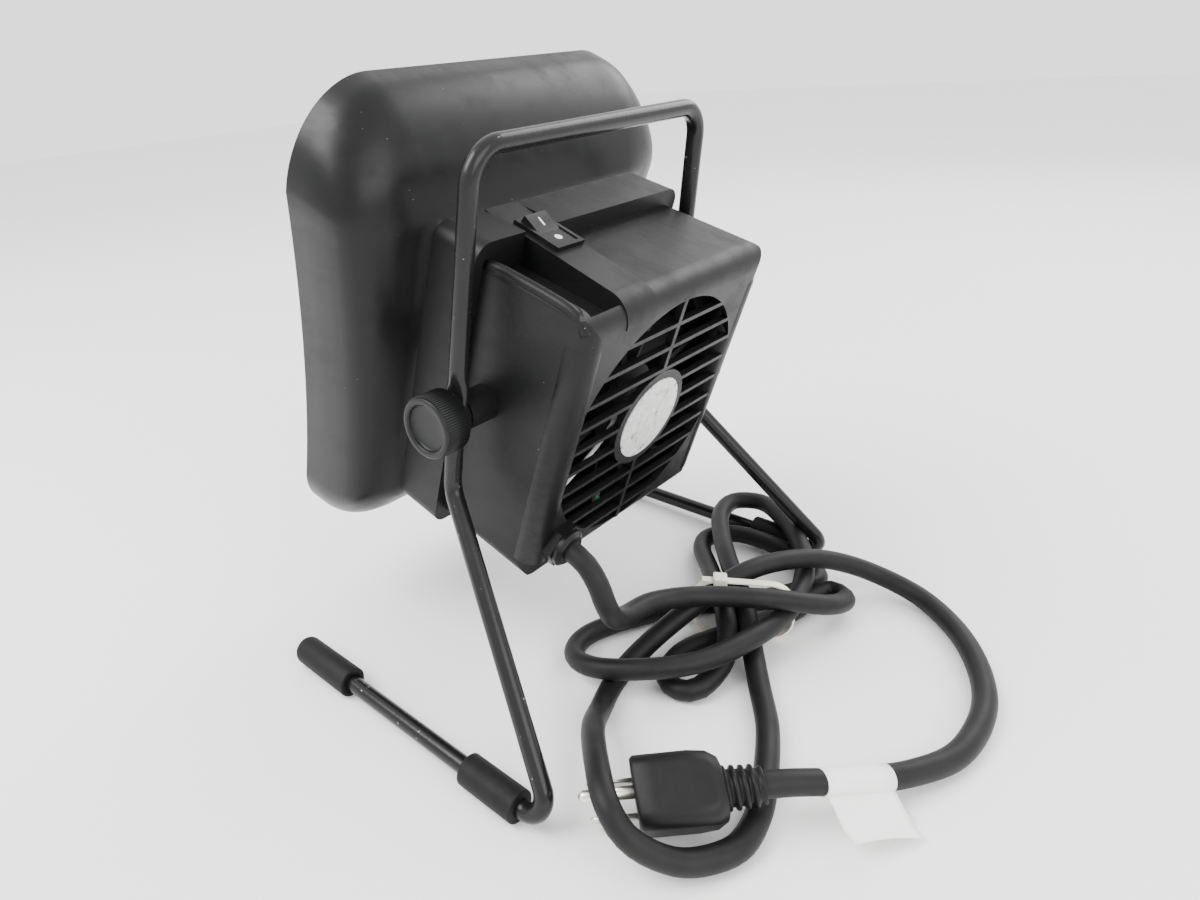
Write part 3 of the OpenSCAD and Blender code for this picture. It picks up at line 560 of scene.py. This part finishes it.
def blade(x):
    """A flat contact with a rounded tip, x millimetres from the plug's middle."""
    half, straight = 3.175, 15.4
    turns = [math.radians(a) for a in (20, 45, 70, 90)]
    tip = [(2.0 * math.cos(a) + 1.175, straight + 2.9 * math.sin(a)) for a in turns]
    outline = [(-half, 0), (half, 0), (half, straight)] + tip
    outline += [(-y, z) for y, z in reversed(tip)] + [(-half, straight)]
    verts = []
    for s in (-0.75, 0.75):
        verts += [PLUG @ Vector(((x + s) * MM, (y - 3.025) * MM, (z + 47.9) * MM))
                  for y, z in outline]
    n = len(outline)
    faces = [tuple(range(n - 1, -1, -1)), tuple(range(n, 2 * n))] + \
        [(k, (k + 1) % n, n + (k + 1) % n, n + k) for k in range(n)]
    return bevelled(piece("blade", verts, faces, NICKEL, False, True), 0.3, 2)


def make_contacts():
    blades = join("plug_blade_pair", [blade(-6.35), blade(6.35)])
    finish_piece(blades, "stand", "nickel", "plug_blades")
    base = PLUG @ Matrix.Translation(Vector((0, 8.6, 47.9)) * MM)
    profile = [(0.01, 0), (2.4, 0), (2.4, 19)] + arc(0, 19, 2.4, 0, 88, 8)
    pin = lathe("plug_ground_contact", profile, base, 40, NICKEL)
    finish_piece(pin, "stand", "nickel", "ground_pin")


def make_tie():
    """Flat strap pulled round the bundle, with a square locking head and a cut tail."""
    place = Matrix.Translation(bench(-36, 71, 0)) @ Matrix.Rotation(math.radians(-58), 4, "Z")
    corner_r = 11.4
    loop = []
    for cx, cz, a0 in ((12, 20, 0), (-12, 20, 90), (-12, 12.2, 180), (12, 12.2, 270)):
        loop += arc(cx, cz, corner_r, a0, a0 + 90, 9)
    verts, faces = [], []
    centre = Vector((0, 16))
    for x, z in loop:
        out = (Vector((x, z)) - centre).normalized()
        for w, t in ((-2.2, 0), (2.2, 0), (2.2, 1.1), (-2.2, 1.1)):
            verts.append(place @ (Vector((x + out.x * t, w, z + out.y * t)) * MM))
    n = len(loop)
    for i in range(n):
        for k in range(4):
            a, b = i * 4 + k, i * 4 + (k + 1) % 4
            faces.append((a, b, (b + 4) % (4 * n), (a + 4) % (4 * n)))
    strap = bevelled(piece("tie_strap", verts, faces, TIE, True, True), 0.25, 2)
    lock = block("tie_lock", place, (8, -3.6, 29.8), (14.5, 3.6, 34.4), TIE, 0.7)
    tail = block("tie_tail", place, (14, -2.1, 31.2), (20, 2.1, 32.3), TIE, 0.3)
    finish_piece(join("tie", [strap, lock, tail]), "stand", "tie_plastic", "cord_tie")


def make_tag():
    """Blank paper flag: its middle wraps the cord and both halves meet in a slightly curled leaf."""
    middle = bench(28.5, 151.5, 12)
    near = min(range(len(cord_line)), key=lambda i: (cord_line[i] - middle).length)
    axis = (cord_line[near + 1] - cord_line[near - 1]).normalized()
    out = Vector((axis.y, -axis.x, 0)).normalized()
    if out.y < 0:
        out = -out
    verts, faces = [], []
    rows, cols = 14, 12
    for j in range(cols + 1):
        along = axis * (j / cols - 0.5) * 30 * MM
        for i in range(rows + 1):
            t = i / rows
            curl = 1.6 * t * t * math.sin(j / cols * math.pi)
            drop = Vector((0, 0, -1)) * (1.5 + 6.2 * min(1, t * 1.6) - curl) * MM
            verts.append(cord_line[near] + along + out * (4.5 + 17 * t) * MM + drop)
    n = rows + 1
    for j in range(cols):
        for i in range(rows):
            a = j * n + i
            faces.append((a, a + 1, a + n + 1, a + n))
    leaf = piece("tag_leaf", verts, faces, TAG)
    m = leaf.modifiers.new("thick", "SOLIDIFY")
    m.thickness = 0.35 * MM
    m.offset = 0
    apply_modifiers(leaf)
    stations = [cord_line[near] + axis * s * MM for s in (-15, -7, 0, 7, 15)]
    wrap = sweep("tag_wrap", stations, 5.35 * MM, 28, TAG)
    finish_piece(join("tag", [leaf, wrap]), "stand", "tag_paper", "cord_tag")


make_plug()
make_contacts()
make_tie()
make_tag()
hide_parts("power_cord", "cord_exit")
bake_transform(cord)

# ---------------------------------------------------------------- stand


def bend_points(a, b, c, r):
    """Points round a bend of radius r at corner b, in millimetres."""
    u, w = (b - a).normalized(), (c - b).normalized()
    turn = u.angle(w)
    centre = b + (w - u).normalized() * r / math.cos(turn / 2)
    start = (b - u * r * math.tan(turn / 2) - centre).normalized()
    n = max(3, math.ceil(math.degrees(turn) / 5))
    return [centre + r * (math.cos(turn * i / n) * start + math.sin(turn * i / n) * u)
            for i in range(n + 1)]


def make_rod():
    """The stand: one bent rod, pressed flat and drilled at the tilt axis on both sides."""
    half = [Vector(p) for p in ((77, 13, 253), (83, 0, 147), (83, -6, 111),
                                (FOOT_X, 80, FOOT_Z), (FOOT_X, -84, FOOT_Z))]
    radii = [15, 60, 12, 8]
    corners = [Vector((-p.x, p.y, p.z)) for p in reversed(half)] + half
    bends = [0] + radii[::-1] + radii + [0]
    line = [corners[0]]
    for i in range(1, len(corners) - 1):
        line += bend_points(corners[i - 1], corners[i], corners[i + 1], bends[i])
    line.append(corners[-1])
    dense = []
    for a, b in zip(line, line[1:]):
        n = max(1, round((b - a).length / 4))
        dense += [a.lerp(b, k / n) for k in range(n)]
    dense.append(line[-1])
    rod = sweep("stand_rod_bar", [bench(*p) for p in dense], ROD_R * MM, 28, ROD_ENAMEL)
    for v in rod.data.vertices:
        p = (v.co - BENCH) / MM
        near = 1 - min(1, max(0, (abs(p.z - 147) - 12) / 6))
        if near > 0:
            middle = math.copysign(83 - 6 * max(0, p.z - 147) / 106, p.x)
            flat = middle + max(-2.2, min(2.2, p.x - middle))
            p.x += (flat - p.x) * near
            p.y *= 1 + 0.35 * near
            v.co = BENCH + p * MM
    eye = [(3.1, -2.2)] + arc(7.0, -1.7, 0.5, -90, 0, 3) + arc(7.0, 1.7, 0.5, 0, 90, 3) + [(3.1, 2.2)]
    eyes = [lathe("eye", eye, frame_at(bench(s * 83, 0, 147), (1, 0, 0)), 48, ROD_ENAMEL)
            for s in (-1, 1)]
    finish_piece(join("stand_rod_painted", [rod] + eyes), "stand", "rod", "stand_rod")


def stand_flat(o):
    """Flattens what would reach below the bench."""
    for v in o.data.vertices:
        v.co.z = max(v.co.z, 0)
    return o


def make_feet():
    for side, word in ((-1, "left"), (1, "right")):
        place = frame_at(bench(side * FOOT_X, 0, FOOT_Z), (0, 1, 0))
        sleeve_profile = [(4.1, 33)] + arc(6.65, 33.6, 0.6, -90, 0, 4) \
            + arc(6.65, 61.4, 0.6, 0, 90, 4) + [(4.1, 62)]
        sleeve = lathe("sleeve_" + word, sleeve_profile, place, 64, FOOT_RUBBER,
                       lambda r, h, a: 0.12 * noise.noise(Vector((a * 2, h / 6, side))))
        finish_piece(stand_flat(sleeve), "stand", "rubber_feet", "foot_sleeve_" + word)
        cap_profile = [(0.01, -87), (2.2, -86.9)] + arc(2.6, -82.25, 4.65, -80, 0, 9) \
            + arc(6.65, -46.6, 0.6, 0, 90, 4) + [(4.1, -46), (4.1, -60)]
        cap = lathe("cap_" + word, cap_profile, place, 64, FOOT_RUBBER,
                    lambda r, h, a: 0.15 * noise.noise(Vector((a * 2, h / 7, side + 5))) * min(1, r / 4))
        finish_piece(stand_flat(cap), "stand", "rubber_feet", "foot_cap_" + word)


make_rod()
make_feet()

# ---------------------------------------------------------------- hood


def half_to_full(half):
    """The half outline and its mirror image, without repeating the ends."""
    return half + [(-x, z) for x, z in half[-2:0:-1]]


def spread(a, b, n):
    """n even steps from a towards b, without b."""
    return [a + (b - a) * i / n for i in range(n)]


def mouth_outline(fine=3):
    def side(z):
        return 92 + 16 * ((z + 88) / 157) ** 1.8
    half = [(x, -118) for x in spread(0, 61, 4 * fine)]
    half += arc(61, -87, 31, -90, 0, 6 * fine)[:-1]
    half += [(side(z), z) for z in spread(-87, 69, 8 * fine)]
    half += [(70 + 38 * math.cos(math.radians(a)), 69 + 45 * math.sin(math.radians(a)))
             for a in spread(0, 90, 8 * fine)]
    half += [(x, 114) for x in spread(70, 0, 5 * fine)] + [(0, 114)]
    return half_to_full(half)


def throat_outline(fine=3):
    w, r = COLLAR_HALF, 8
    half = [(x, COLLAR_BOTTOM) for x in spread(0, w - r, 4 * fine)]
    half += arc(w - r, COLLAR_BOTTOM + r, r, -90, 0, 6 * fine)[:-1]
    half += [(w, z) for z in spread(COLLAR_BOTTOM + r, COLLAR_TOP - r, 8 * fine)]
    half += arc(w - r, COLLAR_TOP - r, r, 0, 90, 8 * fine)[:-1]
    half += [(x, COLLAR_TOP) for x in spread(w - r, 0, 5 * fine)] + [(0, COLLAR_TOP)]
    return half_to_full(half)


# distance from the tilt axis, share of the flare to the sides, share of it up and down
FLARE = [(-36.8, -.03, -.02), (-38, 0, 0), (-39.5, .18, .05), (-42, .42, .14), (-46, .68, .29),
         (-50, .84, .43), (-55, .93, .58), (-61, .97, .73), (-68, .99, .86), (-76, 1, .95), (-88, 1, 1)]


def make_hood():
    """A flared skin from the collar to the mouth, with a rolled rim."""
    mouth, throat = mouth_outline(), throat_outline()
    k = len(mouth)
    rings = smooth_line([Vector(r) for r in FLARE], 1.1)
    outer = [[(throat[i][0] + (mouth[i][0] - throat[i][0]) * min(1, r[1]), r[0],
               throat[i][1] + (mouth[i][1] - throat[i][1]) * min(1, r[2])) for i in range(k)] for r in rings]
    verts, faces = [], []
    for ring in outer:
        verts += [head(*p) for p in ring]
    n = len(outer)
    for j in range(n - 1):
        for i in range(k):
            a, b = j * k + i, j * k + (i + 1) % k
            faces.append((a, b, b + k, a + k))
    skin = piece("hood_skin", verts, faces, HOOD_BLACK, fix=True)
    # the open skin's faces must point away from the air path
    mesh = skin.data
    middle = head(0, -60, 0)
    wrong = sum(1 for f in mesh.polygons if f.normal.dot(f.center - middle) < 0)
    if wrong > len(mesh.polygons) / 2:
        mesh.flip_normals()
    m = skin.modifiers.new("wall", "SOLIDIFY")
    m.thickness = HOOD_WALL * MM
    m.offset = -1
    m.use_even_offset = True
    b = skin.modifiers.new("rim", "BEVEL")
    b.width = 0.9 * MM
    b.segments = 3
    b.limit_method = "ANGLE"
    b.angle_limit = math.radians(60)
    finish_piece(apply_modifiers(skin), "head", "hood_plastic", "hood")


make_hood()

# ---------------------------------------------------------------- housing details


def make_edge_beads():
    """The housing's upright rear corners: rolled edges with a ball-nosed top end."""
    beads = []
    for side in (-1, 1):
        place = HEAD @ Matrix.Translation(Vector((side * (BOX_HALF - 7.9), BOX_REAR - 7.9, 0)) * MM)
        profile = [(0.01, -66), (8.25, -66), (8.25, 43)] + arc(0, 43, 8.25, 8, 89, 9)
        beads.append(lathe("bead", profile, place, 48, BODY_BLACK))
    finish_piece(join("housing_edge_beads", beads), "head", "body_plastic")


def make_groove_lining():
    """The groove beside the switch duct: its inner wall's fine edge."""
    rail = [head(60.2, y, 53.6) for y in (-12, 0, 15, 30, 37.5)]
    finish_piece(sweep("groove_rail", rail, 0.55 * MM, 12, BODY_BLACK), "head", "body_plastic")


def make_side_roll():
    """The rounded top edge of the side wall beside the groove."""
    line = [head(63.8, y, z) for y, z in ((-12.6, 58.2), (-8, 59.2), (4, 59.4), (18, 59.2),
                                          (30, 58.4), (36.5, 56.0), (39.5, 52.0))]
    roll = sweep("side_wall_roll", smooth_line(line, 0.003), 2.3 * MM, 20, BODY_BLACK)
    finish_piece(roll, "head", "body_plastic")


make_edge_beads()
make_groove_lining()
make_side_roll()

# ---------------------------------------------------------------- switch marks

SWITCH_FRAME = HEAD @ Matrix.Translation(SWITCH * MM) @ Matrix.Rotation(math.radians(DUCT_FALL), 4, "X") \
    @ Matrix.Rotation(math.radians(-10), 4, "X")


def make_switch_marks():
    """A bar on the raised end and a ring on the lowered end of the rocker."""
    slope = math.atan2(1.9, 11)
    def on_slope(y, turn):
        """A placement on the rocker's sloping top, y millimetres from its middle."""
        z = 1.3 + abs(y) * math.tan(slope)
        return SWITCH_FRAME @ Matrix.Translation(Vector((0, y, z)) * MM) @ Matrix.Rotation(turn, 4, "X")

    front, rear = on_slope(-5.4, -slope), on_slope(5.0, slope)
    bar = block("mark_bar", front, (-0.45, -2.2, -0.2), (0.45, 2.2, 0.08), MARK_WHITE, 0.05)
    ring = lathe("mark_ring", [(1.05, -0.2), (1.75, -0.2), (1.75, 0.08), (1.05, 0.08)], rear, 40, MARK_WHITE)
    marks = join("rocker_marks", [bar, ring])
    finish_piece(marks, "rocker", "switch_plastic")


make_switch_marks()

# ---------------------------------------------------------------- knobs


def input_id(group, name):
    return next(s.identifier for s in group.interface.items_tree
                if s.item_type == "SOCKET" and s.name == name)


def ridge_ring():
    """Geometry Nodes: straight ridges set round a cylinder, for a knurled rim."""
    g = bpy.data.node_groups.new("knurl_ridges", "GeometryNodeTree")
    g.is_modifier = True
    face = g.interface
    face.new_socket("Geometry", in_out="INPUT", socket_type="NodeSocketGeometry")
    for name, kind, value in (("Ridges", "NodeSocketInt", 72), ("Radius", "NodeSocketFloat", 0.0132),
                              ("Ridge width", "NodeSocketFloat", 0.0006),
                              ("Ridge length", "NodeSocketFloat", 0.011)):
        face.new_socket(name, in_out="INPUT", socket_type=kind).default_value = value
    face.new_socket("Finish", in_out="INPUT", socket_type="NodeSocketMaterial")
    face.new_socket("Geometry", in_out="OUTPUT", socket_type="NodeSocketGeometry")
    add = g.nodes.new
    given, out = add("NodeGroupInput"), add("NodeGroupOutput")
    circle = add("GeometryNodeMeshCircle")
    bar = add("GeometryNodeMeshCube")
    size = add("ShaderNodeCombineXYZ")
    put = add("GeometryNodeInstanceOnPoints")
    turn = add("FunctionNodeAlignRotationToVector")
    turn.axis = "X"
    position = add("GeometryNodeInputPosition")
    real, paint = add("GeometryNodeRealizeInstances"), add("GeometryNodeSetMaterial")
    link = g.links.new
    link(given.outputs["Ridges"], circle.inputs["Vertices"])
    link(given.outputs["Radius"], circle.inputs["Radius"])
    link(given.outputs["Ridge width"], size.inputs[0])
    link(given.outputs["Ridge width"], size.inputs[1])
    link(given.outputs["Ridge length"], size.inputs[2])
    link(size.outputs[0], bar.inputs["Size"])
    link(circle.outputs[0], put.inputs["Points"])
    link(bar.outputs["Mesh"], put.inputs["Instance"])
    link(position.outputs[0], turn.inputs["Vector"])
    link(turn.outputs[0], put.inputs["Rotation"])
    link(put.outputs[0], real.inputs[0])
    link(real.outputs[0], paint.inputs["Geometry"])
    link(given.outputs["Finish"], paint.inputs["Material"])
    link(paint.outputs[0], out.inputs[0])
    return g


def make_knobs():
    """Round tilt knobs with a dished face inside a raised lip and a knurled rim."""
    ridges = ridge_ring()
    profile = [(3.2, 0), (11.9, 0)] + arc(12.2, 1.0, 1.0, -90, 0, 4) + arc(12.2, 12.6, 1.0, 0, 90, 5) \
        + arc(11.2, 12.4, 1.2, 90, 175, 4) \
        + [(10.0, 11.9), (8.5, 11.5), (5.0, 11.3), (2.0, 11.25), (0.01, 11.25)]
    for side, word in ((-1, "left"), (1, "right")):
        place = frame_at(PIVOT + Vector((side * 87.0 * MM, 0, 0)), (side, 0, 0))
        body = lathe("knob_body", profile, place, 96, KNOB_BLACK)
        blank = piece("knurl_" + word, [(0, 0, 0)], [])
        m = blank.modifiers.new("knurl", "NODES")
        m.node_group = ridges
        for name, value in (("Ridges", 78), ("Radius", 0.01318), ("Ridge width", 0.00055),
                            ("Ridge length", 0.0112), ("Finish", KNOB_BLACK)):
            m[input_id(ridges, name)] = value
        apply_modifiers(blank)
        blank.data.transform(place @ Matrix.Translation((0, 0, 0.0068)))
        knob = join("knob_knurled_" + word, [body, blank])
        finish_piece(knob, "knob_" + word, "knob_plastic", "knob_" + word)


make_knobs()

# ---------------------------------------------------------------- finishes of the CAD parts

FINISHES = {
    BODY_BLACK: ("collar", "rear_housing", "switch_duct", "pivot_boss_left", "pivot_boss_right"),
    SWITCH_BLACK: ("rocker_bezel", "rocker_button", "cord_gland", "gland_nut", "filter_frame"),
    FAN_BLACK: ("fan_frame", "fan_impeller"),
    ZINC: ("knob_stud_left", "knob_stud_right", "pivot_washers", "fan_shaft", "fan_bearings",
           "fan_screws", "ground_screw"),
    BRASS: ("rocker_terminals", "pivot_inserts"),
    COPPER: ("fan_stator",),
    FOAM: ("filter_pad",),
    LABEL: ("hub_label",)}


def dress(node, mat):
    """Puts the finish in every material slot of a CAD node."""
    o = frame["nodes"][node]
    if not o.material_slots:
        o.data.materials.append(mat)
    for s in o.material_slots:
        s.material = mat


for mat, names in FINISHES.items():
    for name in names:
        dress(name, mat)
for name, mat in LEADS.items():
    dress(name, mat)

# ---------------------------------------------------------------- stage and light


def make_stage():
    corners = [(-4, -4, 0), (4, -4, 0), (4, 4, 0), (-4, 4, 0)]
    floor = piece("bench_top", corners, [(0, 1, 2, 3)], stage_white())
    world = bpy.data.worlds.new("studio")
    bpy.context.scene.world = world
    world.use_nodes = True
    world.node_tree.nodes["Background"].inputs[0].default_value = (1, 1, 1, 1)
    world.node_tree.nodes["Background"].inputs[1].default_value = 1.9


def area_light(name, at, aim, size, power):
    data = bpy.data.lights.new(name, "AREA")
    data.shape = "RECTANGLE"
    data.size, data.size_y = size
    data.energy = power
    o = bpy.data.objects.new(name, data)
    bpy.context.scene.collection.objects.link(o)
    o.matrix_world = frame_at(Vector(at), Vector(at) - Vector(aim))


make_stage()
area_light("key", (0.9, -0.5, 1.3), (0, 0, 0.12), (0.9, 0.9), 34)
area_light("fill", (0.2, 1.4, 0.9), (0, 0, 0.12), (1.2, 0.8), 14)
area_light("rim", (-1.2, 0.2, 1.0), (0, 0, 0.15), (0.8, 0.8), 12)
